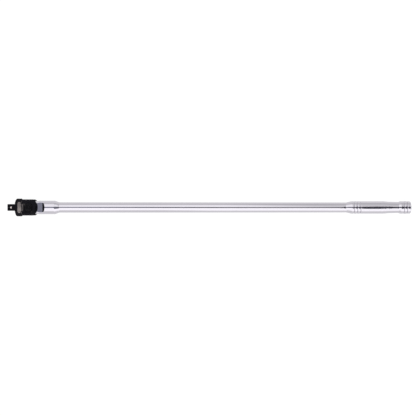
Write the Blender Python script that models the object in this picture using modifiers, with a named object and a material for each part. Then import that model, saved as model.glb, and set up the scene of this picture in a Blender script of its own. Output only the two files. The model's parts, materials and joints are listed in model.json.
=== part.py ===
"""Half-inch-drive breaker bar with a flex head, 762 mm long.

The bar lies along X: the drive square points to -X, the grip ends at +X. The origin is the centre of
the drive square's end face, and the hinge pin that the head swings on stands along Z. The head is a
forged fork with the drive square, the handle is one forging whose flat tongue sits in that fork.
"""

import math

import bmesh
import bpy
from mathutils import Matrix, Vector

# ---- driving dimensions (metres) ----
OVERALL_LENGTH = 0.762
GAP = 0.0003                    # clearance left between neighbouring pieces
REACH = 0.02                    # how far cutters stand past what they cut

DRIVE_SIZE = 0.0127             # half-inch square
DRIVE_LENGTH = 0.0151
DRIVE_TIP_BEVEL = 0.0012
DRIVE_ROOT_LENGTH = 0.0020      # fillet between the square and the collar
DRIVE_ROOT_RADIUS = 0.0084
DRIVE_SINK = 0.0003             # how far the fillet's thin end lies inside the square
DRIVE_OVERLAP = 0.0030          # how far the square runs into the collar

COLLAR_RADIUS = 0.0168
COLLAR_LENGTH = 0.0115
COLLAR_NOSE = 0.0030            # length of the rounded front of the collar
COLLAR_NOSE_RADIUS = 0.0116     # flat ring that a socket seats against
COLLAR_CORNER = 0.0012
COLLAR_FLAT = 0.0137            # height of the collar's two flats above the axis

HEAD_NECK_RADIUS = 0.0151       # round neck between the collar and the fork
HEAD_NECK_END_X = 0.0315
FORK_WIDTH = 0.0304
FORK_DEPTH = 0.0268
FORK_EDGE_RADIUS = 0.0040
FORK_ROOT_X = 0.0245            # the fork's root, inside the collar
FORK_CORNER = 0.0044            # round corners of the fork seen along the pin
PIN_X = 0.0409                  # hinge axis
ARM_END_RADIUS = 0.0200
ARM_END_SET_BACK = 0.0034       # centre of that arc, behind the hinge axis

TONGUE_HALF = 0.0082            # half thickness of the tongue
TONGUE_RADIUS = 0.0123          # half width of the tongue
TONGUE_END_RADIUS = 0.0122
TONGUE_SPARE = 0.0010           # turned length beyond the tongue's round end, cut off
TONGUE_WIDEN_X = 0.0562         # past the fork the tongue widens to the neck
SADDLE_GAP = 0.0007             # between the tongue's round end and the bottom of the fork
RUNOUT_X = 0.0669               # where the flats start to climb back to the round neck
RUNOUT_FILLET = 0.0020
RUNOUT_WALL = math.radians(65.0)

PIN_RADIUS = 0.0050
PIN_SET_IN = 0.0004             # pin ends below the faces of the arms
PIN_CHAMFER = 0.0004
RING_RADIUS = 0.0072
RING_THICKNESS = 0.0010
RING_GROOVE_DEPTH = 0.0006
RING_MOUTH = math.radians(36.0)
COUNTERBORE_RADIUS = 0.0083
COUNTERBORE_DEPTH = 0.0022

DETENT_X = 0.0072               # ball in the drive square, from the tip
DETENT_BALL_RADIUS = 0.0024
DETENT_PROUD = 0.0011
DETENT_BORE_DEPTH = 0.0096
DETENT_COIL_RADIUS = 0.0016
DETENT_WIRE = 0.0005
DETENT_TURNS = 3.5

TENSION_BALL_RADIUS = 0.0032
TENSION_BORE_END_X = 0.0150
TENSION_COIL_RADIUS = 0.0024
TENSION_WIRE = 0.0008
TENSION_TURNS = 4.0

NECK_RADIUS = 0.0129
NECK_START_X = 0.0605
NECK_END_X = 0.0890
BAR_START_X = 0.0990
BAR_END_X = 0.6355
BAR_RADIUS_HEAD = 0.0099
BAR_RADIUS_GRIP = 0.0096
BAR_NECK_IN = 0.00010           # slight hollow just before the flare

FLARE_START_X = 0.6400
FLARE_END_X = 0.6530
FLARE_END_RADIUS = 0.0117
GRIP_RADIUS = 0.0118
GROOVE_DEPTH = 0.0009
FRONT_GROOVE_X = 0.6550
FRONT_PITCH = 0.0060
FRONT_BEADS = 2
FRONT_BEAD_RADIUS = GRIP_RADIUS + 0.0001
REAR_GROOVE_X = 0.7492
REAR_PITCH = 0.0057
REAR_BEADS = 1
REAR_BEAD_RADIUS = GRIP_RADIUS + 0.0003
GROOVE_HALF = 0.0009            # from a groove's bottom to the full radius beside it
TAPER_START_X = 0.7080
TAPER_END_X = 0.7250
TAPER_END_RADIUS = 0.01085
WAIST_X = 0.7385
WAIST_RADIUS = 0.01047
SHOULDER_X = 0.7437             # end of the quick rise behind the waist
GRIP_END_ROUND = 0.0018

ROUND_STEPS = 40               # sides of large turned pieces
SMALL_STEPS = 32
SMOOTH_ANGLE = math.radians(30.0)

COLLECTION_NAME = "breaker_bar"
CUTTER_COLLECTION_NAME = "cutters"


# ---- scene and materials ----
def clear_scene():
    for obj in list(bpy.data.objects):
        bpy.data.objects.remove(obj, do_unlink=True)


def new_collection(name):
    collection = bpy.data.collections.new(name)
    bpy.context.scene.collection.children.link(collection)
    return collection


def principled(name, colour, roughness, metallic):
    material = bpy.data.materials.new(name)
    material.use_nodes = True
    shader = material.node_tree.nodes["Principled BSDF"]
    shader.inputs["Base Color"].default_value = (*colour, 1.0)
    shader.inputs["Roughness"].default_value = roughness
    shader.inputs["Metallic"].default_value = metallic
    return material


# ---- mesh helpers ----
def add_object(name, mesh, collection, material=None):
    obj = bpy.data.objects.new(name, mesh)
    collection.objects.link(obj)
    if material is not None:
        mesh.materials.append(material)
    return obj


def mesh_from_bmesh(name, bm):
    mesh = bpy.data.meshes.new(name)
    bm.to_mesh(mesh)
    bm.free()
    return mesh


def smooth(obj):
    obj.data.shade_smooth()
    obj.data.set_sharp_from_angle(angle=SMOOTH_ANGLE)


def bake(obj):
    """Replace an object's mesh by its evaluated one, so that later cutters can be removed."""
    depsgraph = bpy.context.evaluated_depsgraph_get()
    evaluated = obj.evaluated_get(depsgraph)
    mesh = bpy.data.meshes.new_from_object(evaluated, depsgraph=depsgraph)
    obj.modifiers.clear()
    obj.data = mesh
    return obj


def boolean(obj, other, operation):
    modifier = obj.modifiers.new(operation.lower(), "BOOLEAN")
    modifier.operation = operation
    modifier.solver = "EXACT"
    modifier.object = other
    bpy.context.view_layer.update()
    bake(obj)
    bpy.data.objects.remove(other, do_unlink=True)
    return obj


def cylinder(name, radius, length, centre, axis, collection, steps=SMALL_STEPS):
    """A closed cylinder along the given axis, half a step turned so that a flat side faces up."""
    bm = bmesh.new()
    bmesh.ops.create_cone(
        bm, cap_ends=True, segments=steps, radius1=radius, radius2=radius, depth=length
    )
    bmesh.ops.rotate(bm, verts=bm.verts, cent=(0, 0, 0), matrix=Matrix.Rotation(math.pi / steps, 3, "Z"))
    turn = Vector((0, 0, 1)).rotation_difference(Vector(axis)).to_matrix()
    bmesh.ops.rotate(bm, verts=bm.verts, cent=(0, 0, 0), matrix=turn)
    bmesh.ops.translate(bm, verts=bm.verts, vec=centre)
    return add_object(name, mesh_from_bmesh(name, bm), collection)


def box(name, low, high, collection, bevel=0.0, bevel_segments=3):
    """A box between two corners, with bevelled edges if asked."""
    bm = bmesh.new()
    bmesh.ops.create_cube(bm, size=1.0)
    size = [high[i] - low[i] for i in range(3)]
    middle = [(high[i] + low[i]) / 2 for i in range(3)]
    bmesh.ops.scale(bm, verts=bm.verts, vec=size)
    bmesh.ops.translate(bm, verts=bm.verts, vec=middle)
    if bevel > 0:
        bmesh.ops.bevel(
            bm, geom=list(bm.edges), offset=bevel, segments=bevel_segments, profile=0.5, affect="EDGES"
        )
    return add_object(name, mesh_from_bmesh(name, bm), collection)


def outline_solid(name, points, low, high, collection, plane="XY"):
    """A flat outline, filled and given thickness: along Z for XY outlines, along Y for XZ ones."""
    curve = bpy.data.curves.new(name + "_outline", "CURVE")
    curve.dimensions = "2D"
    curve.fill_mode = "BOTH"
    curve.extrude = (high - low) / 2
    spline = curve.splines.new("POLY")
    spline.points.add(len(points) - 1)
    for point, (u, v) in zip(spline.points, points):
        point.co = (u, v, 0.0, 1.0)
    spline.use_cyclic_u = True
    guide = bpy.data.objects.new(name + "_outline", curve)
    collection.objects.link(guide)
    if plane == "XZ":
        guide.rotation_euler = (math.radians(90), 0, 0)
        guide.location = (0, -(high + low) / 2, 0)
    else:
        guide.location = (0, 0, (high + low) / 2)
    bpy.context.view_layer.update()
    depsgraph = bpy.context.evaluated_depsgraph_get()
    mesh = bpy.data.meshes.new_from_object(guide.evaluated_get(depsgraph), depsgraph=depsgraph)
    mesh.transform(guide.matrix_world)
    bm = bmesh.new()
    bm.from_mesh(mesh)
    bmesh.ops.remove_doubles(bm, verts=bm.verts, dist=1e-6)
    bmesh.ops.recalc_face_normals(bm, faces=bm.faces)
    bm.to_mesh(mesh)
    bm.free()
    bpy.data.objects.remove(guide, do_unlink=True)
    return add_object(name, mesh, collection)


def turned(name, profile, collection, material=None, steps=ROUND_STEPS):
    """A solid turned about X from (x, radius) points that begin and end on the axis."""
    bm = bmesh.new()
    verts = [bm.verts.new((radius, 0.0, -x)) for x, radius in profile]
    for first, second in zip(verts, verts[1:]):
        bm.edges.new((first, second))
    obj = add_object(name, mesh_from_bmesh(name, bm), collection, material)
    screw = obj.modifiers.new("turn", "SCREW")
    screw.axis = "Z"
    screw.angle = 2 * math.pi
    screw.steps = steps
    screw.render_steps = steps
    screw.use_merge_vertices = True
    screw.merge_threshold = 1e-5
    bake(obj)
    obj.data.transform(Matrix.Rotation(math.radians(-90), 4, "Y"))
    obj.data.update()
    return obj


def ball(name, radius, centre, collection, material):
    """A ball whose object origin is its centre."""
    bm = bmesh.new()
    bmesh.ops.create_uvsphere(bm, u_segments=20, v_segments=12, radius=radius)
    obj = add_object(name, mesh_from_bmesh(name, bm), collection, material)
    obj.location = centre
    obj.data.shade_smooth()
    return obj


def spring(name, start, end, coil_radius, wire_radius, turns, collection, material):
    """A compression spring between two points, made as a helix of round wire."""
    start = Vector(start)
    end = Vector(end)
    along = (end - start).normalized()
    length = (end - start).length - 2 * wire_radius
    turn = Vector((0, 0, 1)).rotation_difference(along).to_matrix()
    per_turn = 12
    count = int(turns * per_turn) + 1
    curve = bpy.data.curves.new(name, "CURVE")
    curve.dimensions = "3D"
    curve.bevel_depth = wire_radius
    curve.bevel_resolution = 2
    curve.use_fill_caps = True
    spline = curve.splines.new("POLY")
    spline.points.add(count - 1)
    for index, point in enumerate(spline.points):
        part = index / (count - 1)
        angle = 2 * math.pi * turns * part
        local = Vector(
            (coil_radius * math.cos(angle), coil_radius * math.sin(angle), wire_radius + length * part)
        )
        point.co = (*(start + turn @ local), 1.0)
    obj = bpy.data.objects.new(name, curve)
    curve.materials.append(material)
    collection.objects.link(obj)
    return obj


# ---- profile pieces ----
def arc(centre_x, centre_r, radius_x, radius_r, start, end, count):
    """Points along an ellipse's arc, angles in degrees from +X towards +R."""
    points = []
    for index in range(count + 1):
        angle = math.radians(start + (end - start) * index / count)
        points.append((centre_x + radius_x * math.cos(angle), centre_r + radius_r * math.sin(angle)))
    return points


def ramp(x0, r0, x1, r1, lead, tail, count):
    """A straight slope between two radii, rounded over a share of its length at each end."""
    slope = 1 / (1 - lead / 2 - tail / 2)
    points = []
    for index in range(count + 1):
        part = index / count
        risen = slope * (part - lead / 2)
        if part < lead:
            risen = slope * part * part / (2 * lead)
        if part > 1 - tail:
            risen = 1 - slope * (1 - part) ** 2 / (2 * tail)
        points.append((x0 + (x1 - x0) * part, r0 + (r1 - r0) * risen))
    return points


def beads(first_groove_x, pitch, count, radius):
    """Flat-crowned beads between narrow grooves, beginning and ending in a groove."""
    crown = ((0.10, 0.67), (0.22, 0.94), (0.5, 1.0), (0.78, 0.94), (0.90, 0.67))
    points = [(first_groove_x, radius - GROOVE_DEPTH)]
    for index in range(count):
        left = first_groove_x + pitch * index
        for part, height in crown:
            points.append((left + pitch * part, radius - GROOVE_DEPTH * (1 - height)))
        points.append((left + pitch, radius - GROOVE_DEPTH))
    return points


# ---- the head ----
def head_profile():
    """The turned part of the head: drive root fillet, collar and round neck."""
    collar_end = DRIVE_LENGTH + COLLAR_LENGTH
    nose_end = DRIVE_LENGTH + COLLAR_NOSE
    root_start = DRIVE_LENGTH - DRIVE_ROOT_LENGTH
    root_low = DRIVE_SIZE / 2 - DRIVE_SINK
    points = [(root_start, 0.0), (root_start, root_low)]
    root_rise = DRIVE_ROOT_RADIUS - root_low
    points += arc(root_start, DRIVE_ROOT_RADIUS, DRIVE_ROOT_LENGTH, root_rise, -90, 0, 4)[1:]
    points += [(DRIVE_LENGTH, COLLAR_NOSE_RADIUS)]
    rise = COLLAR_RADIUS - COLLAR_NOSE_RADIUS
    points += arc(nose_end, COLLAR_NOSE_RADIUS, COLLAR_NOSE, rise, 180, 90, 6)[1:]
    points += [(collar_end - COLLAR_CORNER, COLLAR_RADIUS), (collar_end, COLLAR_RADIUS - COLLAR_CORNER)]
    points += [(collar_end, HEAD_NECK_RADIUS), (HEAD_NECK_END_X, HEAD_NECK_RADIUS)]
    points += [(HEAD_NECK_END_X, 0.0)]
    return points


def fork_outline():
    """The fork seen along the pin: straight sides, round corners and gently round arm ends."""
    corner = FORK_CORNER
    side = FORK_WIDTH / 2 - corner
    root_x = FORK_ROOT_X + corner
    end_x = PIN_X - ARM_END_SET_BACK
    shoulder = math.sqrt((ARM_END_RADIUS - corner) ** 2 - side ** 2)
    turn = math.degrees(math.atan2(side, shoulder))
    points = arc(root_x, -side, corner, corner, 180, 270, 4)
    points += arc(end_x + shoulder, -side, corner, corner, 270, 360 - turn, 3)
    points += arc(end_x, 0.0, ARM_END_RADIUS, ARM_END_RADIUS, -turn, turn, 12)[1:-1]
    points += arc(end_x + shoulder, side, corner, corner, turn, 90, 3)
    points += arc(root_x, side, corner, corner, 90, 180, 4)
    return points


def make_fork(cutters):
    """Both arms before the slot is cut, with rounded rims all round."""
    fork = outline_solid("fork", fork_outline(), -FORK_DEPTH / 2, FORK_DEPTH / 2, cutters)
    bm = bmesh.new()
    bm.from_mesh(fork.data)
    rims = [e for e in bm.edges if abs(e.verts[0].co.z - e.verts[1].co.z) < 1e-6 and len(e.link_faces) == 2]
    rims = [e for e in rims if abs(e.link_faces[0].normal.z - e.link_faces[1].normal.z) > 0.5]
    bmesh.ops.bevel(
        bm, geom=rims, offset=FORK_EDGE_RADIUS, segments=4, profile=0.5, affect="EDGES", clamp_overlap=False
    )
    bmesh.ops.remove_doubles(bm, verts=bm.verts, dist=1e-5)
    bm.to_mesh(fork.data)
    bm.free()
    return fork


def make_head(collection, cutters, material):
    head = turned("drive_head", head_profile(), collection, material)
    boolean(head, make_fork(cutters), "UNION")

    half = DRIVE_SIZE / 2
    low = (0.0, -half, -half)
    high = (DRIVE_LENGTH + DRIVE_OVERLAP, half, half)
    boolean(head, box("square", low, high, cutters, DRIVE_TIP_BEVEL, 2), "UNION")

    for side in (-1, 1):
        low, high = sorted((side * COLLAR_FLAT, side * REACH))
        flat = box("flat", (DRIVE_LENGTH / 2, -REACH, low), (PIN_X, REACH, high), cutters)
        boolean(head, flat, "DIFFERENCE")

    saddle_x = PIN_X - TONGUE_END_RADIUS - SADDLE_GAP
    slot_half = TONGUE_HALF + GAP
    slot = box("slot", (saddle_x, -REACH, -slot_half), (PIN_X + REACH, REACH, slot_half), cutters)
    boolean(head, slot, "DIFFERENCE")

    hole = cylinder("hole", PIN_RADIUS + GAP, 2 * REACH, (PIN_X, 0, 0), (0, 0, 1), cutters)
    boolean(head, hole, "DIFFERENCE")
    for side in (-1, 1):
        middle = side * (FORK_DEPTH / 2 - COUNTERBORE_DEPTH + REACH / 2)
        bore = cylinder("counterbore", COUNTERBORE_RADIUS, REACH, (PIN_X, 0, middle), (0, 0, 1), cutters)
        boolean(head, bore, "DIFFERENCE")

    middle = DRIVE_SIZE / 2 - DETENT_BORE_DEPTH + REACH / 2
    radius = DETENT_BALL_RADIUS + GAP
    bore = cylinder("detent_bore", radius, REACH, (DETENT_X, 0, middle), (0, 0, 1), cutters, 24)
    boolean(head, bore, "DIFFERENCE")

    middle = (TENSION_BORE_END_X + PIN_X) / 2
    length = PIN_X - TENSION_BORE_END_X
    radius = TENSION_BALL_RADIUS + GAP
    bore = cylinder("tension_bore", radius, length, (middle, 0, 0), (1, 0, 0), cutters, 24)
    boolean(head, bore, "DIFFERENCE")
    smooth(head)
    return head


# ---- the handle ----
def handle_profile():
    """(x, radius) points of the round handle, from the tongue's end to the grip's end."""
    start = PIN_X - TONGUE_END_RADIUS - TONGUE_SPARE
    points = [(start, 0.0), (start, TONGUE_RADIUS), (TONGUE_WIDEN_X, TONGUE_RADIUS)]
    points += [(NECK_START_X, NECK_RADIUS)]
    points += ramp(NECK_END_X, NECK_RADIUS, BAR_START_X, BAR_RADIUS_HEAD, 0.10, 0.35, 10)
    points += [((BAR_START_X + BAR_END_X) / 2, (BAR_RADIUS_HEAD + BAR_RADIUS_GRIP) / 2)]
    points += [(BAR_END_X, BAR_RADIUS_GRIP), (FLARE_START_X - 0.0008, BAR_RADIUS_GRIP - BAR_NECK_IN)]
    points += ramp(FLARE_START_X, BAR_RADIUS_GRIP, FLARE_END_X, FLARE_END_RADIUS, 0.15, 0.35, 6)
    points += [(FRONT_GROOVE_X - GROOVE_HALF, GRIP_RADIUS)]
    points += beads(FRONT_GROOVE_X, FRONT_PITCH, FRONT_BEADS, FRONT_BEAD_RADIUS)
    grip_start = FRONT_GROOVE_X + FRONT_PITCH * FRONT_BEADS + GROOVE_HALF
    points += [(grip_start, GRIP_RADIUS)]
    points += ramp(TAPER_START_X, GRIP_RADIUS, TAPER_END_X, TAPER_END_RADIUS, 0.45, 0.35, 6)
    points += [(WAIST_X, WAIST_RADIUS)]
    points += ramp(WAIST_X + 0.0008, WAIST_RADIUS + 0.0001, SHOULDER_X, GRIP_RADIUS, 0.4, 0.4, 4)
    points += [(REAR_GROOVE_X - GROOVE_HALF, GRIP_RADIUS)]
    points += beads(REAR_GROOVE_X, REAR_PITCH, REAR_BEADS, REAR_BEAD_RADIUS)
    points += [(REAR_GROOVE_X + REAR_PITCH * REAR_BEADS + GROOVE_HALF, GRIP_RADIUS)]
    round_x = OVERALL_LENGTH - GRIP_END_ROUND
    round_radius = GRIP_RADIUS - GRIP_END_ROUND
    points += arc(round_x, round_radius, GRIP_END_ROUND, GRIP_END_ROUND, 90, 0, 4)
    points += [(OVERALL_LENGTH, 0.0)]
    return points


def flat_outline(side):
    """What is taken off one side of the tongue: a flat, a fillet and a steep wall up to the neck."""
    points = [(PIN_X - REACH, side * TONGUE_HALF)]
    steps = 5
    for index in range(steps + 1):
        angle = RUNOUT_WALL * index / steps
        rise = RUNOUT_FILLET * (1 - math.cos(angle))
        points.append((RUNOUT_X + RUNOUT_FILLET * math.sin(angle), side * (TONGUE_HALF + rise)))
    wall_x, wall_z = points[-1]
    wall_end = wall_x + (REACH - abs(wall_z)) / math.tan(RUNOUT_WALL)
    return points + [(wall_end, side * REACH), (PIN_X - REACH, side * REACH)]


def make_handle(collection, cutters, material):
    handle = turned("handle", handle_profile(), collection, material)

    points = arc(PIN_X, 0.0, TONGUE_END_RADIUS, TONGUE_END_RADIUS, 270, 90, 20)
    points += [(PIN_X, REACH), (OVERALL_LENGTH + REACH, REACH)]
    points += [(OVERALL_LENGTH + REACH, -REACH), (PIN_X, -REACH)]
    boolean(handle, outline_solid("tongue_end", points, -REACH, REACH, cutters), "INTERSECT")

    for side in (-1, 1):
        flat = outline_solid("tongue_flat", flat_outline(side), -REACH, REACH, cutters, "XZ")
        boolean(handle, flat, "DIFFERENCE")

    hole = cylinder("hole", PIN_RADIUS + GAP, 2 * REACH, (PIN_X, 0, 0), (0, 0, 1), cutters)
    boolean(handle, hole, "DIFFERENCE")
    smooth(handle)
    return handle


# ---- the hinge pin and its rings ----
def ring_height():
    """Underside of a retaining ring, above the hinge's middle plane."""
    return FORK_DEPTH / 2 - COUNTERBORE_DEPTH + GAP


def make_pin(collection, material):
    half = FORK_DEPTH / 2 - PIN_SET_IN
    groove_low = ring_height() - GAP / 2
    groove_high = ring_height() + RING_THICKNESS + GAP / 2
    groove = PIN_RADIUS - RING_GROOVE_DEPTH - GAP
    upper = [(groove_low, PIN_RADIUS), (groove_low, groove)]
    upper += [(groove_high, groove), (groove_high, PIN_RADIUS)]
    upper += [(half - PIN_CHAMFER, PIN_RADIUS), (half, PIN_RADIUS - PIN_CHAMFER), (half, 0.0)]
    lower = [(-x, radius) for x, radius in reversed(upper)]
    pin = turned("pivot_pin", lower + upper, collection, material, SMALL_STEPS)
    pin.data.transform(Matrix.Rotation(math.radians(-90), 4, "Y"))
    pin.location = (PIN_X, 0, 0)
    smooth(pin)
    return pin


def make_ring(name, side, collection, material):
    """An open ring of spring steel that snaps into the pin's groove."""
    inner = PIN_RADIUS - RING_GROOVE_DEPTH
    start = math.degrees(RING_MOUTH / 2)
    points = arc(0.0, 0.0, RING_RADIUS, RING_RADIUS, start, 360 - start, 28)
    points += arc(0.0, 0.0, inner, inner, 360 - start, start, 28)
    low = side * ring_height()
    high = side * (ring_height() + RING_THICKNESS)
    low, high = sorted((low, high))
    ring = outline_solid(name, points, low, high, collection)
    ring.data.materials.append(material)
    ring.location = (PIN_X, 0, 0)
    smooth(ring)
    return ring


# ---- assembly ----
def main():
    clear_scene()
    collection = new_collection(COLLECTION_NAME)
    cutters = new_collection(CUTTER_COLLECTION_NAME)
    black = principled("black_oxide_steel", (0.018, 0.017, 0.020), 0.42, 0.85)
    chrome = principled("polished_chrome", (0.80, 0.80, 0.83), 0.06, 1.0)
    pin_steel = principled("blackened_pin_steel", (0.012, 0.012, 0.013), 0.38, 0.9)
    ring_steel = principled("spring_steel", (0.05, 0.05, 0.055), 0.35, 0.9)
    ball_steel = principled("bearing_steel", (0.55, 0.53, 0.50), 0.18, 1.0)
    wire_steel = principled("spring_wire", (0.30, 0.30, 0.31), 0.30, 1.0)

    make_head(collection, cutters, black)
    make_handle(collection, cutters, chrome)
    make_pin(collection, pin_steel)
    make_ring("retaining_ring_top", 1, collection, ring_steel)
    make_ring("retaining_ring_bottom", -1, collection, ring_steel)

    detent_z = DRIVE_SIZE / 2 + DETENT_PROUD - DETENT_BALL_RADIUS
    ball("socket_ball", DETENT_BALL_RADIUS, (DETENT_X, 0, detent_z), collection, ball_steel)
    spring(
        "socket_ball_spring",
        (DETENT_X, 0, DRIVE_SIZE / 2 - DETENT_BORE_DEPTH + GAP),
        (DETENT_X, 0, detent_z - DETENT_BALL_RADIUS - GAP / 3),
        DETENT_COIL_RADIUS,
        DETENT_WIRE / 2,
        DETENT_TURNS,
        collection,
        wire_steel,
    )

    tension_x = PIN_X - TONGUE_END_RADIUS - GAP - TENSION_BALL_RADIUS
    ball("tension_ball", TENSION_BALL_RADIUS, (tension_x, 0, 0), collection, ball_steel)
    spring(
        "tension_spring",
        (TENSION_BORE_END_X + GAP, 0, 0),
        (tension_x - TENSION_BALL_RADIUS - GAP / 3, 0, 0),
        TENSION_COIL_RADIUS,
        TENSION_WIRE / 2,
        TENSION_TURNS,
        collection,
        wire_steel,
    )
    bpy.context.scene.collection.children.unlink(cutters)
    bpy.data.collections.remove(cutters)


main()
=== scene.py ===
"""Looks of a half-inch-drive breaker bar with a flex head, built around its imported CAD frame.

The bar lies along X with the drive square at the origin, and the hinge pin stands along Z. Every CAD
node is replaced by a finer piece of the same size: turned and lofted steel with rounded edges.
"""

import json
import math

import bmesh
import bpy
from mathutils import Matrix, Vector


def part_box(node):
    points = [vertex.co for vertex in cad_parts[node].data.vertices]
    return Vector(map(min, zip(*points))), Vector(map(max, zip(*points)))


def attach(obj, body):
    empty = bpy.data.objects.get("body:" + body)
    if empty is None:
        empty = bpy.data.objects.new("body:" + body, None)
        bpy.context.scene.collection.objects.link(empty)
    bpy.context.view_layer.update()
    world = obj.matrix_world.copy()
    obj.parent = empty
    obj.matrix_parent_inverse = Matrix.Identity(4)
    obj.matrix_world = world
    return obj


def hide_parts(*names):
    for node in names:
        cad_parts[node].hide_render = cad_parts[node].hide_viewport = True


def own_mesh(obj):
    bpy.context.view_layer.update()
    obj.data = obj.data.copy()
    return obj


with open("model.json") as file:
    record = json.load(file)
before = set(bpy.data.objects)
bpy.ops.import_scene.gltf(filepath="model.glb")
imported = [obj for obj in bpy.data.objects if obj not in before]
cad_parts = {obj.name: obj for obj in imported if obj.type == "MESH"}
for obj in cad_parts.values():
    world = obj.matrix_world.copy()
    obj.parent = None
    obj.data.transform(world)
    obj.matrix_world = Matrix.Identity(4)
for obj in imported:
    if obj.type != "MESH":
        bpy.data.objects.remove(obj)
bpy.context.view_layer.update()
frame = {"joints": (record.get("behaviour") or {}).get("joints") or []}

# ---- sizes read from the frame ----
JOINTS = {joint["name"]: joint for joint in frame["joints"]}
PIN_X = JOINTS["head_flex"]["pos_m"][0]
HEAD_LOW, HEAD_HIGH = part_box("drive_head")
PIN_LOW, PIN_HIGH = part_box("pivot_pin")
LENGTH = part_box("handle")[1].x
FLOOR_Z = HEAD_LOW.z
COLLAR_RADIUS = HEAD_HIGH.y
COLLAR_FLAT = HEAD_HIGH.z

# ---- sizes of the head (metres) ----
DRIVE_SIZE = 0.0127
DRIVE_LENGTH = 0.0151
DRIVE_EDGE = 0.0011
DRIVE_ROOT_LENGTH = 0.0020      # the fillet where the square meets the collar
DRIVE_ROOT_RADIUS = 0.0084
DRIVE_OVERLAP = 0.0040          # how far the square runs into the collar to be joined to it
COLLAR_LENGTH = 0.0115
COLLAR_NOSE = 0.0030
COLLAR_NOSE_RADIUS = 0.0116
COLLAR_CORNER = 0.0014
COLLAR_FLAT_START_X = 0.0100
HEAD_NECK_RADIUS = 0.0151
HEAD_NECK_END_X = 0.0315
FORK_WIDTH = 0.0304
FORK_DEPTH = 0.0268
FORK_EDGE = 0.0040
FORK_ROOT_X = 0.0245
FORK_ROOT_CORNER = 0.0044
ARM_END_RADIUS = 0.0200
ARM_END_SET_BACK = 0.0034
SLOT_HALF = 0.0085
SADDLE_X = PIN_X - 0.0129
PIN_HOLE_RADIUS = 0.0052
COUNTERBORE_RADIUS = 0.0083
COUNTERBORE_DEPTH = 0.0022
DETENT_BORE_DEPTH = 0.0096
TENSION_BORE_END_X = 0.0150
CUT_EDGE = 0.0003               # the round left on the edges that cuts make
REACH = 0.03                    # how far a cutter runs past what it cuts, along and across the tool
SIDE_REACH = 0.02

# ---- sizes of the handle ----
TONGUE_HALF = 0.0082
TONGUE_END_RADIUS = 0.0122
TONGUE_RADIUS = 0.0123
TONGUE_WIDEN_X = 0.0562
RUNOUT_X = 0.0664               # where the flats start to climb back to the round neck
RUNOUT_FILLET = 0.0030
RUNOUT_WALL = math.radians(52.0)
RUNOUT_LENGTH = 0.0060          # long enough for the wall to leave the neck
RUNOUT_ROW = 0.0001             # spacing of the rings that carry the run-out
RUNOUT_ROWS = 73
TONGUE_CORNER = 0.0006
PIN_CHAMFER = 0.0005
NECK_RADIUS = 0.0129
NECK_START_X = 0.0605
NECK_STATIONS_X = (0.0745, 0.0800, 0.0882)
NECK_END_X = 0.0890
BAR_START_X = 0.0990
BAR_END_X = 0.6355
BAR_RADIUS_HEAD = 0.0099
BAR_RADIUS_GRIP = 0.0096
BAR_NECK_IN = 0.00010
BAR_NECK_SHAPE = ((0.12, 0.0), (0.35, 0.3), (0.62, 1.0), (0.80, 0.9), (0.93, 0.3))
FLARE_START_X = 0.6400
FLARE_END_X = 0.6522
FLARE_END_RADIUS = 0.0118
GRIP_RADIUS = 0.0118
GRIP_STATIONS_X = (0.6685, 0.6700, 0.6760, 0.6850, 0.6980, 0.7072)
GROOVE_DEPTH = 0.0009
LIP_LENGTH = 0.0008
FRONT_GROOVE_X = 0.6550
FRONT_PITCH = 0.0060
FRONT_BEADS = 2
REAR_GROOVE_X = 0.7492
REAR_PITCH = 0.0057
REAR_BEADS = 1
TAPER_START_X = 0.7080
TAPER_END_X = 0.7250
TAPER_END_RADIUS = 0.01085
WAIST_X = 0.7385
WAIST_RADIUS = 0.01047
SHOULDER_X = 0.7437
REAR_CROWN = ((0.7575, 0.00006), (0.7588, 0.00006), (0.7596, 0.00002), (0.7601, -0.00004))
GRIP_END_ROUND = 0.0015

# ---- springs ----
END_CLOSING = 0.072             # how much closer together a spring's end turns lie
DETENT_WIRE = 0.0005
DETENT_TURNS = 4.5
FRICTION_WIRE = 0.0008
FRICTION_TURNS = 5.0

# ---- the bare patch on the collar's flats, painted lighter on one side, and a painted highlight on the flats at the fork's root ----
PATCH_X = (0.0208, 0.0272)
PATCH_NARROWING = 0.0012        # how much the patch shortens towards its sides
ROOT_HIGHLIGHT_X = (0.0282, 0.0322)

TURNED_STEPS = 128
CUTTER_STEPS = 96
BORE_STEPS = 64
SHARP_ANGLE = math.radians(32.0)

# ---- studio light, as strengths of the sky and directions in it ----
FLOOR_GLOW = 0.93
FLOOR_SIZE = 40.0
AMBIENT = 0.86
BACK_BANK = 0.62
BACK_FALL = 0.50                # what the back bank loses towards the grip
BACK_DIM = 0.08
FRONT_BANK = 0.88
FRONT_REACH = 0.17
GAP_SHIFT = 0.09
GAP_LIGHT_LEFT = 0.36
GAP_LIGHT_RIGHT = 0.07
# half-width of the dark gap overhead against how far along the bar the sky is looked at
GAP_SHAPE = (
    (-1.0, 0.21), (-0.40, 0.21), (-0.24, 0.18), (-0.05, 0.19), (0.140, 0.15), (0.163, 0.16), (0.172, 0.24),
    (0.190, 0.29), (0.208, 0.41), (0.240, 0.42), (0.265, 0.38), (0.290, 0.24), (0.310, 0.26), (0.350, 0.44),
    (0.41, 0.44), (0.47, 0.13), (1.0, 0.09),
)

# ---- camera ----
VIEW_HEIGHT = 1.60
VIEW_WIDTH = 0.7885             # what the frame spans at the bar's axis
VIEW_OFFSET = (-0.00210, -0.00104)
SENSOR = 36.0


# ---- mesh helpers ----
def link(obj):
    bpy.context.scene.collection.objects.link(obj)
    return obj


def from_bmesh(name, bm):
    mesh = bpy.data.meshes.new(name)
    bm.to_mesh(mesh)
    bm.free()
    return link(bpy.data.objects.new(name, mesh))


def bake(obj):
    """Applies every modifier."""
    depsgraph = bpy.context.evaluated_depsgraph_get()
    mesh = bpy.data.meshes.new_from_object(obj.evaluated_get(depsgraph), depsgraph=depsgraph)
    obj.modifiers.clear()
    obj.data = mesh
    return obj


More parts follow.
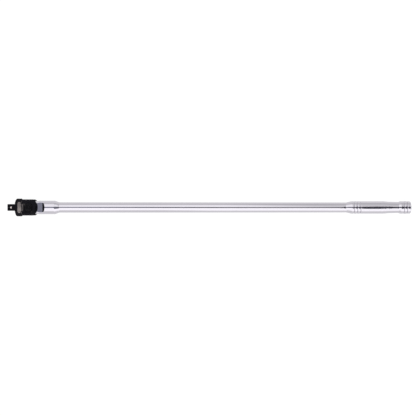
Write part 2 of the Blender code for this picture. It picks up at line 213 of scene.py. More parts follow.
def boolean(obj, other, operation):
    modifier = obj.modifiers.new("cut", "BOOLEAN")
    modifier.operation = operation
    modifier.solver = "EXACT"
    modifier.object = other
    bpy.context.view_layer.update()
    bake(obj)
    bpy.data.objects.remove(other, do_unlink=True)
    return obj


def soften(obj, width, segments=3, angle=SHARP_ANGLE):
    """Rounds the sharp edges that a cut leaves."""
    modifier = obj.modifiers.new("edges", "BEVEL")
    modifier.width = width
    modifier.segments = segments
    modifier.limit_method = "ANGLE"
    modifier.angle_limit = angle
    modifier.harden_normals = False
    modifier.use_clamp_overlap = True
    bpy.context.view_layer.update()
    return bake(obj)


def shade(obj, angle=SHARP_ANGLE):
    obj.data.shade_smooth()
    obj.data.set_sharp_from_angle(angle=angle)
    return obj


def arc(centre_x, centre_r, radius_x, radius_r, start, end, count):
    """Points along an ellipse's arc; angles in degrees."""
    points = []
    for index in range(count + 1):
        angle = math.radians(start + (end - start) * index / count)
        points.append((centre_x + radius_x * math.cos(angle), centre_r + radius_r * math.sin(angle)))
    return points


def ramp(x0, r0, x1, r1, lead, tail, count):
    """A straight slope between two radii, rounded over a share of its length at each end."""
    slope = 1 / (1 - lead / 2 - tail / 2)
    points = []
    for index in range(count + 1):
        part = index / count
        risen = slope * (part - lead / 2)
        if part < lead:
            risen = slope * part * part / (2 * lead)
        if part > 1 - tail:
            risen = 1 - slope * (1 - part) ** 2 / (2 * tail)
        points.append((x0 + (x1 - x0) * part, r0 + (r1 - r0) * risen))
    return points


def turned(name, profile, steps=TURNED_STEPS):
    """A solid turned about X from (x, radius) points that begin and end on the axis."""
    bm = bmesh.new()
    start = bm.verts.new((profile[0][0], 0.0, 0.0))
    end = bm.verts.new((profile[-1][0], 0.0, 0.0))
    rings = []
    for x, radius in profile[1:-1]:
        ring = []
        for step in range(steps):
            angle = 2 * math.pi * step / steps
            ring.append(bm.verts.new((x, radius * math.sin(angle), radius * math.cos(angle))))
        rings.append(ring)
    for first, second in zip(rings, rings[1:]):
        for step in range(steps):
            after = (step + 1) % steps
            bm.faces.new((first[step], first[after], second[after], second[step]))
    for step in range(steps):
        after = (step + 1) % steps
        bm.faces.new((start, rings[0][after], rings[0][step]))
        bm.faces.new((end, rings[-1][step], rings[-1][after]))
    bmesh.ops.recalc_face_normals(bm, faces=bm.faces)
    return from_bmesh(name, bm)


def upright(obj, x=0.0):
    """Stands a piece that was turned about X on the hinge axis instead."""
    obj.data.transform(Matrix.Translation((x, 0, 0)) @ Matrix.Rotation(math.radians(-90), 4, "Y"))
    return obj


def prism(name, points, low, high, rim=0.0, rim_segments=6):
    """An outline in XY with thickness along Z, and rounded rims if asked."""
    bm = bmesh.new()
    lower = [bm.verts.new((x, y, low)) for x, y in points]
    upper = [bm.verts.new((x, y, high)) for x, y in points]
    bm.faces.new(list(reversed(lower)))
    bm.faces.new(upper)
    count = len(points)
    for index in range(count):
        after = (index + 1) % count
        bm.faces.new((lower[index], lower[after], upper[after], upper[index]))
    bmesh.ops.recalc_face_normals(bm, faces=bm.faces)
    if rim > 0:
        edges = [e for e in bm.edges if abs(e.verts[0].co.z - e.verts[1].co.z) < 1e-7]
        bmesh.ops.bevel(
            bm, geom=edges, offset=rim, segments=rim_segments, profile=0.5,
            affect="EDGES", clamp_overlap=False,
        )
        bmesh.ops.remove_doubles(bm, verts=bm.verts, dist=1e-6)
    return from_bmesh(name, bm)


def block(name, low, high, edge=0.0, segments=4):
    """A box between two corners with rounded edges."""
    bm = bmesh.new()
    bmesh.ops.create_cube(bm, size=1.0)
    bmesh.ops.scale(bm, verts=bm.verts, vec=[high[i] - low[i] for i in range(3)])
    bmesh.ops.translate(bm, verts=bm.verts, vec=[(high[i] + low[i]) / 2 for i in range(3)])
    if edge > 0:
        bmesh.ops.bevel(bm, geom=list(bm.edges), offset=edge, segments=segments, profile=0.5, affect="EDGES")
    return from_bmesh(name, bm)


# ---- material helpers ----
class Graph:
    """A material's node tree with short calls for the nodes used here."""

    def __init__(self, name):
        self.material = bpy.data.materials.new(name)
        self.material.use_nodes = True
        self.nodes = self.material.node_tree.nodes
        self.links = self.material.node_tree.links
        self.shader = self.nodes["Principled BSDF"]
        self.where = self.nodes.new("ShaderNodeTexCoord").outputs["Object"]

    def set(self, name, value):
        self.shader.inputs[name].default_value = value

    def feed(self, name, socket):
        self.links.new(socket, self.shader.inputs[name])

    def stretched(self, scale):
        mapping = self.nodes.new("ShaderNodeMapping")
        mapping.inputs["Scale"].default_value = scale
        self.links.new(self.where, mapping.inputs["Vector"])
        return mapping.outputs["Vector"]

    def noise(self, scale, detail=3.0, stretch=None, rough=0.55):
        node = self.nodes.new("ShaderNodeTexNoise")
        node.inputs["Scale"].default_value = scale
        node.inputs["Detail"].default_value = detail
        node.inputs["Roughness"].default_value = rough
        self.links.new(self.stretched(stretch) if stretch else self.where, node.inputs["Vector"])
        return node.outputs["Fac"]

    def math(self, operation, a, b=None, clamp=False):
        node = self.nodes.new("ShaderNodeMath")
        node.operation = operation
        node.use_clamp = clamp
        for slot, value in enumerate((a, b)):
            if value is None:
                continue
            if isinstance(value, (int, float)):
                node.inputs[slot].default_value = value
            else:
                self.links.new(value, node.inputs[slot])
        return node.outputs[0]

    def remap(self, value, low, high, to_low, to_high):
        node = self.nodes.new("ShaderNodeMapRange")
        node.interpolation_type = "SMOOTHSTEP"
        for key, number in (("From Min", low), ("From Max", high), ("To Min", to_low), ("To Max", to_high)):
            node.inputs[key].default_value = number
        self.links.new(value, node.inputs["Value"])
        return node.outputs["Result"]

    def mix(self, factor, a, b):
        node = self.nodes.new("ShaderNodeMix")
        node.data_type = "RGBA"
        self.links.new(factor, node.inputs["Factor"])
        for key, value in (("A", a), ("B", b)):
            socket = next(s for s in node.inputs if s.name == key and s.type == "RGBA")
            if isinstance(value, tuple):
                socket.default_value = (*value, 1.0)
            else:
                self.links.new(value, socket)
        return next(s for s in node.outputs if s.type == "RGBA")

    def axes(self):
        node = self.nodes.new("ShaderNodeSeparateXYZ")
        self.links.new(self.where, node.inputs[0])
        return node.outputs[0], node.outputs[1], node.outputs[2]

    def pointiness(self):
        return self.nodes.new("ShaderNodeNewGeometry").outputs["Pointiness"]

    def bump(self, height, strength, distance):
        node = self.nodes.new("ShaderNodeBump")
        node.inputs["Strength"].default_value = strength
        node.inputs["Distance"].default_value = distance
        self.links.new(height, node.inputs["Height"])
        self.feed("Normal", node.outputs["Normal"])


def inside(graph, value, low, high, soft):
    """1 where value lies between low and high, fading over soft."""
    rise = graph.remap(value, low - soft, low + soft, 0.0, 1.0)
    fall = graph.remap(value, high - soft, high + soft, 1.0, 0.0)
    return graph.math("MULTIPLY", rise, fall)


def make_chrome():
    """Polished chrome plate: faint haze, turning lines round the bar and a few handling smudges."""
    g = Graph("polished_chrome")
    g.set("Metallic", 1.0)
    haze = g.noise(9.0, 4.0)
    smudge = g.remap(g.noise(26.0, 5.0), 0.52, 0.72, 0.0, 1.0)
    lines = g.noise(1.0, 2.0, (5200.0, 160.0, 160.0))
    grain = g.noise(420.0, 2.0)
    g.feed("Base Color", g.mix(haze, (0.520, 0.504, 0.545), (0.575, 0.557, 0.600)))
    rough = g.math("ADD", g.math("MULTIPLY", lines, 0.050), g.math("MULTIPLY", smudge, 0.055))
    g.feed("Roughness", g.math("ADD", rough, 0.045))
    height = g.math("ADD", g.math("MULTIPLY", lines, 0.5), g.math("MULTIPLY", grain, 0.25))
    g.bump(height, 0.06, 0.00004)
    return g.material


def make_black_oxide():
    """Satin black oxide on forged steel, thin on its edges, with flats ground bare on the collar; that bare
    patch is painted lighter on one side, and a painted highlight lies on the flats at the fork's root.
    """
    g = Graph("black_oxide_steel")
    g.set("Metallic", 0.85)
    g.set("Specular Tint", (0.35, 0.34, 0.36, 1.0))
    x, y, z = g.axes()
    mottle = g.noise(95.0, 5.0)
    cloud = g.noise(420.0, 4.0)
    black = g.mix(mottle, (0.0070, 0.0066, 0.0088), (0.0135, 0.0126, 0.0160))

    edge = g.remap(g.pointiness(), 0.56, 0.66, 0.0, 1.0)
    rub = g.math("MULTIPLY", edge, g.remap(mottle, 0.40, 0.65, 0.0, 0.40))
    worn = g.mix(rub, black, (0.115, 0.105, 0.100))

    height = g.math("ABSOLUTE", z)
    side = g.math("ABSOLUTE", y)
    ragged = g.math("MULTIPLY", g.math("SUBTRACT", g.noise(900.0, 3.0), 0.5), 0.0016)
    on_flat = g.remap(height, COLLAR_FLAT - 0.00016, COLLAR_FLAT - 0.00004, 0.0, 1.0)
    near_flat = g.remap(height, COLLAR_FLAT - 0.0006, COLLAR_FLAT - 0.0002, 0.0, 1.0)
    shrink = g.math("MULTIPLY", g.remap(side, 0.0070, 0.0102, 0.0, 1.0), PATCH_NARROWING)
    collar = inside(g, g.math("SUBTRACT", g.math("ADD", x, ragged), shrink), *PATCH_X, 0.0003)
    patch = g.math("MULTIPLY", near_flat, collar)
    streak = g.noise(1.0, 3.0, (300.0, 4200.0, 300.0))
    # one tone serves both the bare patch and the painted highlight
    bare_and_highlight_tone = g.mix(streak, (0.120, 0.105, 0.100), (0.390, 0.350, 0.335))
    # painted highlight: a faint light patch on the flats at the fork's root, standing in for a reflection
    root_highlight_span = inside(g, x, *ROOT_HIGHLIGHT_X, 0.0004)
    painted_root_highlight = g.math("MULTIPLY", g.math("MULTIPLY", on_flat, root_highlight_span), g.remap(cloud, 0.4, 0.6, 0.15, 0.50))
    # painted light: the bare patch is made lighter on its -Y side and darker on its +Y side, as light falls
    # on it
    painted_side_light = g.remap(y, -0.0060, 0.0060, 0.98, 0.80)
    bare_patch_and_highlight = g.math("MAXIMUM", g.math("MULTIPLY", patch, painted_side_light), painted_root_highlight)
    g.feed("Base Color", g.mix(bare_patch_and_highlight, worn, bare_and_highlight_tone))

    satin = g.math("ADD", g.math("MULTIPLY", mottle, 0.16), g.math("MULTIPLY", cloud, 0.10))
    g.feed("Roughness", g.math("ADD", satin, 0.27))
    relief = g.math("ADD", g.math("MULTIPLY", cloud, 0.7), g.math("MULTIPLY", g.noise(1700.0, 2.0), 0.3))
    g.bump(relief, 0.16, 0.00012)
    return g.material


def make_steel(name, dark, light, rough, metallic=1.0, stretch=(900.0, 900.0, 900.0)):
    """Plain steel: two tones mottled together, with lines along the direction it was worked in."""
    g = Graph(name)
    g.set("Metallic", metallic)
    tone = g.noise(160.0, 4.0)
    lines = g.noise(1.0, 3.0, stretch)
    g.feed("Base Color", g.mix(tone, dark, light))
    g.feed("Roughness", g.math("ADD", g.math("MULTIPLY", lines, 0.16), rough - 0.08))
    g.bump(lines, 0.10, 0.00005)
    return g.material


def make_stage_white():
    """Matt white floor that glows, so that it stays pale under any view."""
    g = Graph("studio_floor")
    g.set("Roughness", 0.9)
    g.set("Specular IOR Level", 0.0)
    g.feed("Base Color", g.mix(g.noise(3.0, 2.0), (0.12, 0.12, 0.12), (0.13, 0.13, 0.13)))
    g.set("Emission Color", (1.0, 1.0, 1.0, 1.0))
    g.set("Emission Strength", FLOOR_GLOW)
    return g.material


# ---- the head ----
def head_profile():
    """(x, radius) points of the collar, from the square's root to the neck behind the collar."""
    collar_end = DRIVE_LENGTH + COLLAR_LENGTH
    nose_end = DRIVE_LENGTH + COLLAR_NOSE
    root_start = DRIVE_LENGTH - DRIVE_ROOT_LENGTH
    root_low = DRIVE_SIZE / 2 - 0.0002
    root_high = DRIVE_ROOT_RADIUS
    points = [(root_start, 0.0), (root_start, root_low)]
    points += arc(root_start, root_high, DRIVE_ROOT_LENGTH, root_high - root_low, -90, 0, 10)[1:]
    points += [(DRIVE_LENGTH, COLLAR_NOSE_RADIUS - 0.0003)]
    rise = COLLAR_RADIUS - COLLAR_NOSE_RADIUS
    points += arc(nose_end, COLLAR_NOSE_RADIUS, COLLAR_NOSE, rise, 180, 90, 18)
    corner = COLLAR_CORNER
    points += arc(collar_end - corner, COLLAR_RADIUS - corner, corner, corner, 90, 15, 6)
    points += arc(collar_end + 0.0008, HEAD_NECK_RADIUS + 0.0006, 0.0008, 0.0006, 180, 270, 6)
    points += [(HEAD_NECK_END_X - 0.0006, HEAD_NECK_RADIUS), (HEAD_NECK_END_X, HEAD_NECK_RADIUS - 0.0004)]
    points += [(HEAD_NECK_END_X, 0.0)]
    return points


def make_fork():
    """The two arms before the slot is cut: straight sides, round end and rounded rims all about."""
    half = FORK_WIDTH / 2
    corner = FORK_ROOT_CORNER
    root_x = FORK_ROOT_X + corner
    end_x = PIN_X - ARM_END_SET_BACK
    side = half - corner
    shoulder = math.sqrt((ARM_END_RADIUS - corner) ** 2 - side ** 2)
    turn = math.degrees(math.atan2(side, shoulder))
    points = arc(root_x, -side, corner, corner, 180, 270, 12)
    points += arc(end_x + shoulder, -side, corner, corner, 270, 360 - turn, 6)
    points += arc(end_x, 0.0, ARM_END_RADIUS, ARM_END_RADIUS, -turn, turn, 48)[1:-1]
    points += arc(end_x + shoulder, side, corner, corner, turn, 90, 6)
    points += arc(root_x, side, corner, corner, 90, 180, 12)
    return prism("fork", points, -FORK_DEPTH / 2, FORK_DEPTH / 2, FORK_EDGE, 10)


def slot_cutter():
    """The gap between the arms, with rounded corners at its bottom."""
    corner = 0.0012
    low = arc(SADDLE_X + corner, corner - SLOT_HALF, corner, corner, 180, 270, 6)
    high = arc(SADDLE_X + corner, SLOT_HALF - corner, corner, corner, 90, 180, 6)
    points = low + [(PIN_X + REACH, -SLOT_HALF), (PIN_X + REACH, SLOT_HALF)] + high
    cutter = prism("slot", points, -SIDE_REACH, SIDE_REACH)
    cutter.data.transform(Matrix.Rotation(math.radians(90), 4, "X"))
    return cutter


def pin_cutter():
    """The pin's hole through both arms with its two counterbores, all with small chamfers."""
    face = FORK_DEPTH / 2
    floor = face - COUNTERBORE_DEPTH
    upper = [(SLOT_HALF - 0.0001, PIN_HOLE_RADIUS + 0.0004), (SLOT_HALF + 0.0004, PIN_HOLE_RADIUS)]
    upper += [(floor - 0.0002, PIN_HOLE_RADIUS), (floor, PIN_HOLE_RADIUS + 0.0002)]
    upper += [(floor, COUNTERBORE_RADIUS), (face - 0.0004, COUNTERBORE_RADIUS)]
    upper += [(face + 0.0010, COUNTERBORE_RADIUS + 0.0014), (face + 0.0010, 0.0)]
    lower = [(-x, radius) for x, radius in reversed(upper)]
    return upright(turned("pin_hole", lower + upper, CUTTER_STEPS), PIN_X)


def detent_cutter(radius):
    """The ball's hole in the drive square, with the rim staked inwards over the ball."""
    face = DRIVE_SIZE / 2
    floor = face - DETENT_BORE_DEPTH
    points = [(floor - 0.0008, 0.0), (floor, radius + 0.0003), (face - 0.0012, radius + 0.0003)]
    points += [(face - 0.0005, radius - 0.00002), (face - 0.0002, radius - 0.00002)]
    points += [(face + 0.0003, radius + 0.0004), (face + 0.0020, radius + 0.0004), (face + 0.0020, 0.0)]
    low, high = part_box("socket_ball")
    return upright(turned("ball_hole", points, BORE_STEPS), (low.x + high.x) / 2)


def make_head(material):
    """Square, collar and fork joined, then cut for the flats, slot, pin, ball and tension ball."""
    head = turned("head_forging", head_profile())
    boolean(head, make_fork(), "UNION")
    half = DRIVE_SIZE / 2
    square = block("square", (0.0, -half, -half), (DRIVE_LENGTH + DRIVE_OVERLAP, half, half), DRIVE_EDGE, 5)
    boolean(head, square, "UNION")
    for side in (-1, 1):
        low, high = sorted((side * COLLAR_FLAT, side * REACH))
        cutter = block("flat", (COLLAR_FLAT_START_X, -REACH, low), (PIN_X, REACH, high))
        boolean(head, cutter, "DIFFERENCE")
    boolean(head, slot_cutter(), "DIFFERENCE")
    boolean(head, pin_cutter(), "DIFFERENCE")
    ball_low, ball_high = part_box("socket_ball")
    boolean(head, detent_cutter((ball_high.y - ball_low.y) / 2), "DIFFERENCE")
    tension_low, tension_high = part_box("tension_ball")
    radius = (tension_high.y - tension_low.y) / 2 + 0.0002
    bore = [(TENSION_BORE_END_X - 0.0015, 0.0), (TENSION_BORE_END_X, radius), (SADDLE_X - 0.0004, radius)]
    bore += [(SADDLE_X + 0.0002, radius + 0.0006), (SADDLE_X + 0.0006, 0.0)]
    boolean(head, turned("tension_hole", bore, BORE_STEPS), "DIFFERENCE")
    soften(head, CUT_EDGE)
    head.data.materials.clear()
    head.data.materials.append(material)
    return shade(head)


# ---- the handle ----
def groove_run(first_x, pitch, count, radius):
    """Flat-crowned beads between narrow grooves, beginning and ending in a groove."""
    points = []
    fine = 20
    for bead in range(count):
        for index in range(fine + (bead == count - 1)):
            part = index / fine
            crown = 1 - abs(2 * part - 1) ** 6
            points.append((first_x + pitch * (bead + part), radius - GROOVE_DEPTH * (1 - crown)))
    return points


def lip(groove_x, side):
    """The rounded edge before (side -1) or behind (side 1) a groove, outside the run of beads."""
    depth = GROOVE_DEPTH - 0.0001
    angles = (90, 180) if side > 0 else (90, 0)
    points = arc(groove_x + side * 0.0010, GRIP_RADIUS - depth, LIP_LENGTH, depth, *angles, 8)
    return points if side < 0 else list(reversed(points))


def bar_profile():
    """The long slim bar, which thins a little towards the grip and is necked in before its flare."""
    steps = 24
    points = []
    for step in range(1, steps + 1):
        part = step / steps
        x = BAR_START_X + (BAR_END_X - BAR_START_X) * part
        points.append((x, BAR_RADIUS_HEAD + (BAR_RADIUS_GRIP - BAR_RADIUS_HEAD) * part))
    for share, depth in BAR_NECK_SHAPE:
        x = BAR_END_X + (FLARE_START_X - BAR_END_X) * share
        points.append((x, BAR_RADIUS_GRIP - BAR_NECK_IN * depth))
    return points


def handle_profile():
    """(x, radius) points of the round handle, from the tongue's end to the grip's end."""
    start = PIN_X - TONGUE_END_RADIUS - 0.001
    points = [(start, 0.0), (start, TONGUE_RADIUS), (TONGUE_WIDEN_X, TONGUE_RADIUS)]
    points += ramp(TONGUE_WIDEN_X + 0.0002, TONGUE_RADIUS, NECK_START_X, NECK_RADIUS, 0.3, 0.3, 8)
    points += [(RUNOUT_X - 0.0006 + RUNOUT_ROW * index, NECK_RADIUS) for index in range(RUNOUT_ROWS)]
    points += [(x, NECK_RADIUS) for x in NECK_STATIONS_X]
    points += ramp(NECK_END_X, NECK_RADIUS, BAR_START_X, BAR_RADIUS_HEAD, 0.05, 0.35, 40)
    points += bar_profile()
    points += ramp(FLARE_START_X, BAR_RADIUS_GRIP, FLARE_END_X, FLARE_END_RADIUS, 0.15, 0.35, 28)
    run = groove_run(FRONT_GROOVE_X - FRONT_PITCH, FRONT_PITCH, FRONT_BEADS + 1, GRIP_RADIUS + 0.0001)
    points += [point for point in run if point[0] > FLARE_END_X]
    points += lip(FRONT_GROOVE_X + FRONT_PITCH * FRONT_BEADS, 1)
    points += [(x, GRIP_RADIUS) for x in GRIP_STATIONS_X]
    points += ramp(TAPER_START_X, GRIP_RADIUS, TAPER_END_X, TAPER_END_RADIUS, 0.45, 0.35, 28)
    for part in range(1, 6):
        x = TAPER_END_X + (WAIST_X - TAPER_END_X) * part / 6
        points.append((x, TAPER_END_RADIUS + (WAIST_RADIUS - TAPER_END_RADIUS) * part / 6))
    points += ramp(WAIST_X, WAIST_RADIUS, SHOULDER_X, GRIP_RADIUS, 0.30, 0.40, 20)
    points += [(REAR_GROOVE_X - 0.0026, GRIP_RADIUS + 0.00004)]
    points += [(REAR_GROOVE_X - 0.0018, GRIP_RADIUS + 0.00002)]
    points += lip(REAR_GROOVE_X, -1)
    points += groove_run(REAR_GROOVE_X, REAR_PITCH, REAR_BEADS, GRIP_RADIUS + 0.0003)
    points += lip(REAR_GROOVE_X + REAR_PITCH * REAR_BEADS, 1)
    points += [(x, GRIP_RADIUS + rise) for x, rise in REAR_CROWN]
    end = GRIP_END_ROUND
    points += arc(LENGTH - end, GRIP_RADIUS - end - 0.0001, end, end, 84, 0, 14)
    points += [(LENGTH, GRIP_RADIUS * 0.5), (LENGTH, 0.0)]
    return points


def smallest(a, b, soft):
    """The lesser of two lengths, with a rounded change-over."""
    near = max(soft - abs(a - b), 0.0) / soft
    return min(a, b) - near * near * soft / 4


def runout_rise(distance):
    """How far the flat has climbed: along a fillet, then up a steep wall."""
    if distance <= 0:
        return 0.0
    curved = min(distance, RUNOUT_FILLET * math.sin(RUNOUT_WALL))
    rise = RUNOUT_FILLET - math.sqrt(RUNOUT_FILLET ** 2 - curved ** 2)
    return rise + (distance - curved) * math.tan(RUNOUT_WALL)


def flatten_tongue(handle):
    """Presses the two flats and their sloping run-out into the round neck."""
    for vertex in handle.data.vertices:
        x, y, z = vertex.co
        radius = math.hypot(y, z)
        if x > RUNOUT_X + RUNOUT_LENGTH or radius < 1e-6:
            continue
        upward = max(abs(z) / radius, 1e-4)
        height = TONGUE_HALF + runout_rise(x - RUNOUT_X)
        scale = smallest(radius, height / upward, TONGUE_CORNER) / radius
        vertex.co = (x, y * scale, z * scale)


def tongue_outline():
    """Everything but what lies outside the tongue's round end."""
    wide = SIDE_REACH
    points = arc(PIN_X, 0.0, TONGUE_END_RADIUS, TONGUE_END_RADIUS, 270, 90, 48)
    points += [(PIN_X, wide), (LENGTH + wide, wide), (LENGTH + wide, -wide), (PIN_X, -wide)]
    return prism("tongue_outline", points, -wide, wide)


def make_handle(material):
    """One turned forging, flattened to a tongue, rounded at the tongue's end and bored for the pin."""
    handle = turned("handle_forging", handle_profile())
    flatten_tongue(handle)
    boolean(handle, tongue_outline(), "INTERSECT")
    far, mouth = SIDE_REACH, 0.0130
    points = [(-far, 0.0), (-far, mouth), (-TONGUE_HALF, PIN_HOLE_RADIUS + PIN_CHAMFER)]
    points += [(-TONGUE_HALF + PIN_CHAMFER, PIN_HOLE_RADIUS)]
    points += [(-x, radius) for x, radius in reversed(points)]
    boolean(handle, upright(turned("pin_hole", points, CUTTER_STEPS), PIN_X), "DIFFERENCE")
    handle.data.materials.clear()
    handle.data.materials.append(material)
    return shade(handle)


# ---- pin, rings, balls and springs ----
def make_pin(material):
    """Hinge pin with a chamfered end, a centre mark and a groove for each ring."""
    half = PIN_HIGH.z
    radius = (PIN_HIGH.y - PIN_LOW.y) / 2
    ring_low, ring_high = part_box("retaining_ring_top")
    play = 0.00015
    groove = radius - 0.0009
    low = ring_low.z - play
    high = ring_high.z + play
    upper = [(low - 0.0001, radius), (low, radius - 0.0001), (low, groove), (high, groove)]
    upper += [(high, radius - 0.0001), (high + 0.0001, radius)]
    corner = 0.0006
    upper += arc(half - corner, radius - corner, corner, corner, 90, 0, 6)
    upper += [(half, 0.0016), (half - 0.0003, 0.0012), (half - 0.0007, 0.0)]
    lower = [(-x, r) for x, r in reversed(upper)]
    pin = upright(turned("hinge_pin", lower + upper, CUTTER_STEPS), PIN_X)
    pin.data.materials.append(material)
    return shade(pin)


def make_ring(name, node, material):
    """Spring ring with a mouth and rounded edges."""
    low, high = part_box(node)
    outer = (high.y - low.y) / 2
    inner = 0.0044
    mouth = 18.0
    points = arc(0.0, 0.0, outer, outer, mouth, 360 - mouth, 80)
    points += arc(0.0, 0.0, inner, inner, 360 - mouth, mouth, 80)
    ring = prism(name, points, low.z, high.z, 0.00015, 2)
    ring.data.transform(Matrix.Translation((PIN_X, 0, 0)))
    ring.data.materials.append(material)
    return shade(ring)


def make_ball(name, node, material):
    """Steel ball, round to well under a hair."""
    low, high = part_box(node)
    bm = bmesh.new()
    bmesh.ops.create_icosphere(bm, subdivisions=5, radius=(high.y - low.y) / 2)
    obj = from_bmesh(name, bm)
    obj.data.transform(Matrix.Translation((low + high) / 2))
    obj.data.materials.append(material)
    obj.data.shade_smooth()
    return obj


def make_spring(name, node, axis, wire, turns, material):
    """A compression spring that fills the node's box, with its end turns closed up."""
    low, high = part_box(node)
    centre = (low + high) / 2
    coil = (high.y - low.y) / 2 - wire / 2
    length = high[axis] - low[axis] - wire
    per_turn = 32
    count = int(turns * per_turn) + 1
    curve = bpy.data.curves.new(name, "CURVE")
    curve.dimensions = "3D"
    curve.bevel_depth = wire / 2
    curve.bevel_resolution = 4
    curve.use_fill_caps = True
    spline = curve.splines.new("POLY")
    spline.points.add(count - 1)
    for index, point in enumerate(spline.points):
        part = index / (count - 1)
        angle = 2 * math.pi * turns * part
        eased = part - END_CLOSING * math.sin(2 * math.pi * part)
        along = (eased - 0.5) * length
        round_a, round_b = coil * math.cos(angle), coil * math.sin(angle)
        offset = (along, round_a, round_b) if axis == 0 else (round_a, round_b, along)
        point.co = (*(centre + Vector(offset)), 1.0)
    obj = link(bpy.data.objects.new(name, curve))
    depsgraph = bpy.context.evaluated_depsgraph_get()
    mesh = bpy.data.meshes.new_from_object(obj.evaluated_get(depsgraph), depsgraph=depsgraph)
    bpy.data.objects.remove(obj, do_unlink=True)
    bm = bmesh.new()
    bm.from_mesh(mesh)
    bmesh.ops.remove_doubles(bm, verts=bm.verts, dist=1e-7)
    bm.to_mesh(mesh)
    bm.free()
    mesh.materials.clear()
    mesh.materials.append(material)
    return shade(link(bpy.data.objects.new(name, mesh)))


def place(piece, body, node):
    """The piece moves with its body and stands for its CAD node."""
    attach(piece, body)
    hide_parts(node)


def place_spring(spring, node):
    """The spring moves with the head, stands for its CAD node and gets a mesh of its own."""
    place(spring, "head_body", node)
    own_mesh(spring)


# ---- studio ----
def make_world():
    """Two soft overhead banks with a dark gap between them that widens towards the grip."""
    world = bpy.data.worlds.new("studio")
    bpy.context.scene.world = world
    world.use_nodes = True
    nodes = world.node_tree.nodes
    links = world.node_tree.links
    nodes.clear()

    def feed(node, slot, value):
        if isinstance(value, (int, float)):
            node.inputs[slot].default_value = value
        else:
            links.new(value, node.inputs[slot])

    def calc(operation, a, b=0.0, clamp=False):
        node = nodes.new("ShaderNodeMath")
        node.operation = operation
        node.use_clamp = clamp
        feed(node, 0, a)
        feed(node, 1, b)
        return node.outputs[0]

    def step(value, low, high, to_low=0.0, to_high=1.0):
        node = nodes.new("ShaderNodeMapRange")
        node.interpolation_type = "SMOOTHSTEP"
        feed(node, 0, value)
        for slot, number in ((1, low), (2, high), (3, to_low), (4, to_high)):
            feed(node, slot, number)
        return node.outputs[0]

    coords = nodes.new("ShaderNodeTexCoord")
    split = nodes.new("ShaderNodeSeparateXYZ")
    links.new(coords.outputs["Generated"], split.inputs[0])
    x, y, z = split.outputs[0], split.outputs[1], split.outputs[2]
    up = calc("MAXIMUM", z, 0.02)
    along = calc("DIVIDE", x, up)
    aside = calc("DIVIDE", y, up)
    tilt = calc("ARCTAN2", y, z)
    around = calc("SQRT", calc("ADD", calc("MULTIPLY", y, y), calc("MULTIPLY", z, z)))
    lean = calc("DIVIDE", x, around)

    far_right = calc("MULTIPLY", step(along, 0.02, 0.20), step(lean, 0.44, 0.54, 1.0, 0.0))
    bank_back = calc("MULTIPLY", step(tilt, 0.78, 1.28, 1.0, 0.0), step(tilt, 0.0, 0.05))
    reach = calc("ADD", tilt, calc("MULTIPLY", step(along, -0.15, 0.0), FRONT_REACH))
    bank_front = calc("MULTIPLY", step(reach, -1.48, -0.92), step(tilt, -0.05, 0.0, 1.0, 0.0))
    back = calc("MULTIPLY", bank_back, calc("SUBTRACT", BACK_BANK, calc("MULTIPLY", far_right, BACK_FALL)))
    front = calc("MULTIPLY", bank_front, FRONT_BANK)
    dim = calc("MULTIPLY", calc("MULTIPLY", far_right, step(tilt, 0.6, 1.2)), BACK_DIM)
    light = calc("SUBTRACT", calc("ADD", AMBIENT, calc("ADD", back, front)), dim)

    shape = nodes.new("ShaderNodeFloatCurve")
    curve = shape.mapping.curves[0]
    shape.mapping.extend = "HORIZONTAL"
    for station, half in GAP_SHAPE:
        curve.points.new((station + 1.0) / 2.0, half)
    curve.points.remove(curve.points[0])
    curve.points.remove(curve.points[-1])
    for point in curve.points:
        point.handle_type = "VECTOR"
    shape.mapping.update()
    feed(shape, 1, calc("DIVIDE", calc("ADD", along, 1.0), 2.0, True))

    centred = calc("ADD", aside, calc("MULTIPLY", step(along, -0.15, 0.10), GAP_SHIFT))
    edge = calc("SUBTRACT", calc("ABSOLUTE", centred), shape.outputs[0])
    outside_gap = step(edge, -0.03, 0.03)
    far_left = step(along, -0.36, -0.28)
    near_light = step(along, -0.20, 0.04, GAP_LIGHT_LEFT, GAP_LIGHT_RIGHT)
    gap_light = calc("MULTIPLY", calc("ADD", near_light, step(along, 0.46, 0.56, 0.0, 0.16)), far_left)
    overhead = step(z, 0.10, 0.20)
    shown = calc("ADD", calc("MULTIPLY", light, outside_gap),
                 calc("MULTIPLY", gap_light, calc("SUBTRACT", 1.0, outside_gap)))
    total = calc("ADD", calc("MULTIPLY", shown, overhead),
                 calc("MULTIPLY", light, calc("SUBTRACT", 1.0, overhead)))
    above_horizon = step(z, 0.02, 0.08)
    total = calc("ADD", calc("MULTIPLY", total, above_horizon), calc("SUBTRACT", 1.0, above_horizon))
    tint = nodes.new("ShaderNodeMix")
    tint.data_type = "RGBA"
    tint.inputs[6].default_value = (0.94, 0.97, 1.16, 1.0)
    tint.inputs[7].default_value = (1.0, 0.995, 1.0, 1.0)
    feed(tint, 0, outside_gap)
    background = nodes.new("ShaderNodeBackground")
    links.new(tint.outputs[2], background.inputs["Color"])
    links.new(total, background.inputs["Strength"])
    output = nodes.new("ShaderNodeOutputWorld")
    links.new(background.outputs[0], output.inputs["Surface"])


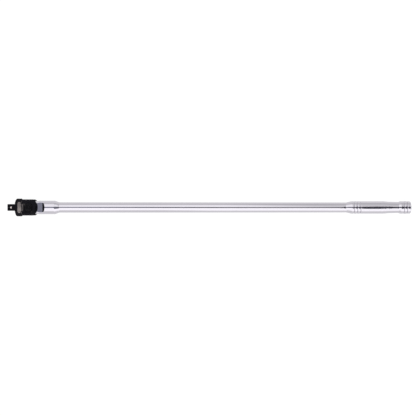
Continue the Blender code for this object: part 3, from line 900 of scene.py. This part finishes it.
def make_stage():
    """A wide floor just under the tool."""
    bm = bmesh.new()
    bmesh.ops.create_grid(bm, x_segments=8, y_segments=8, size=FLOOR_SIZE)
    floor = from_bmesh("studio_floor", bm)
    floor.location = (LENGTH / 2, 0.0, FLOOR_Z - 0.0002)
    floor.data.materials.append(make_stage_white())


def make_camera():
    """Straight above the bar, with its width filling the frame."""
    camera = bpy.data.cameras.new("view")
    camera.sensor_width = SENSOR
    camera.lens = SENSOR * VIEW_HEIGHT / VIEW_WIDTH
    camera.clip_start = 0.01
    obj = link(bpy.data.objects.new("view", camera))
    obj.location = (LENGTH / 2 + VIEW_OFFSET[0], VIEW_OFFSET[1], VIEW_HEIGHT)
    bpy.context.scene.camera = obj


def build():
    """Every piece of the tool, each in place of its CAD node."""
    black = make_black_oxide()
    chrome = make_chrome()
    pin_steel = make_steel("blackened_pin_steel", (0.006, 0.006, 0.007), (0.014, 0.013, 0.015), 0.32, 0.9)
    ring_steel = make_steel("spring_steel", (0.007, 0.007, 0.008), (0.017, 0.016, 0.018), 0.36, 0.95)
    ball_steel = make_steel("bearing_steel", (0.58, 0.51, 0.49), (0.70, 0.63, 0.61), 0.20)
    wire_steel = make_steel("spring_wire", (0.26, 0.26, 0.27), (0.38, 0.38, 0.39), 0.30)

    place(make_head(black), "head_body", "drive_head")
    place(make_handle(chrome), "handle_body", "handle")
    place(make_pin(pin_steel), "head_body", "pivot_pin")
    for end in ("top", "bottom"):
        node = "retaining_ring_" + end
        place(make_ring("spring_ring_" + end, node, ring_steel), "head_body", node)
    ball = make_ball("detent_ball", "socket_ball", ball_steel)
    place(ball, "socket_ball_body", "socket_ball")
    ball = make_ball("friction_ball", "tension_ball", ball_steel)
    place(ball, "tension_ball_body", "tension_ball")
    spring = make_spring("detent_spring", "socket_ball_spring", 2, DETENT_WIRE, DETENT_TURNS, wire_steel)
    place_spring(spring, "socket_ball_spring")
    spring = make_spring("friction_spring", "tension_spring", 0, FRICTION_WIRE, FRICTION_TURNS, wire_steel)
    place_spring(spring, "tension_spring")


build()
make_stage()
make_world()
make_camera()
bpy.context.scene.view_settings.view_transform = "Standard"
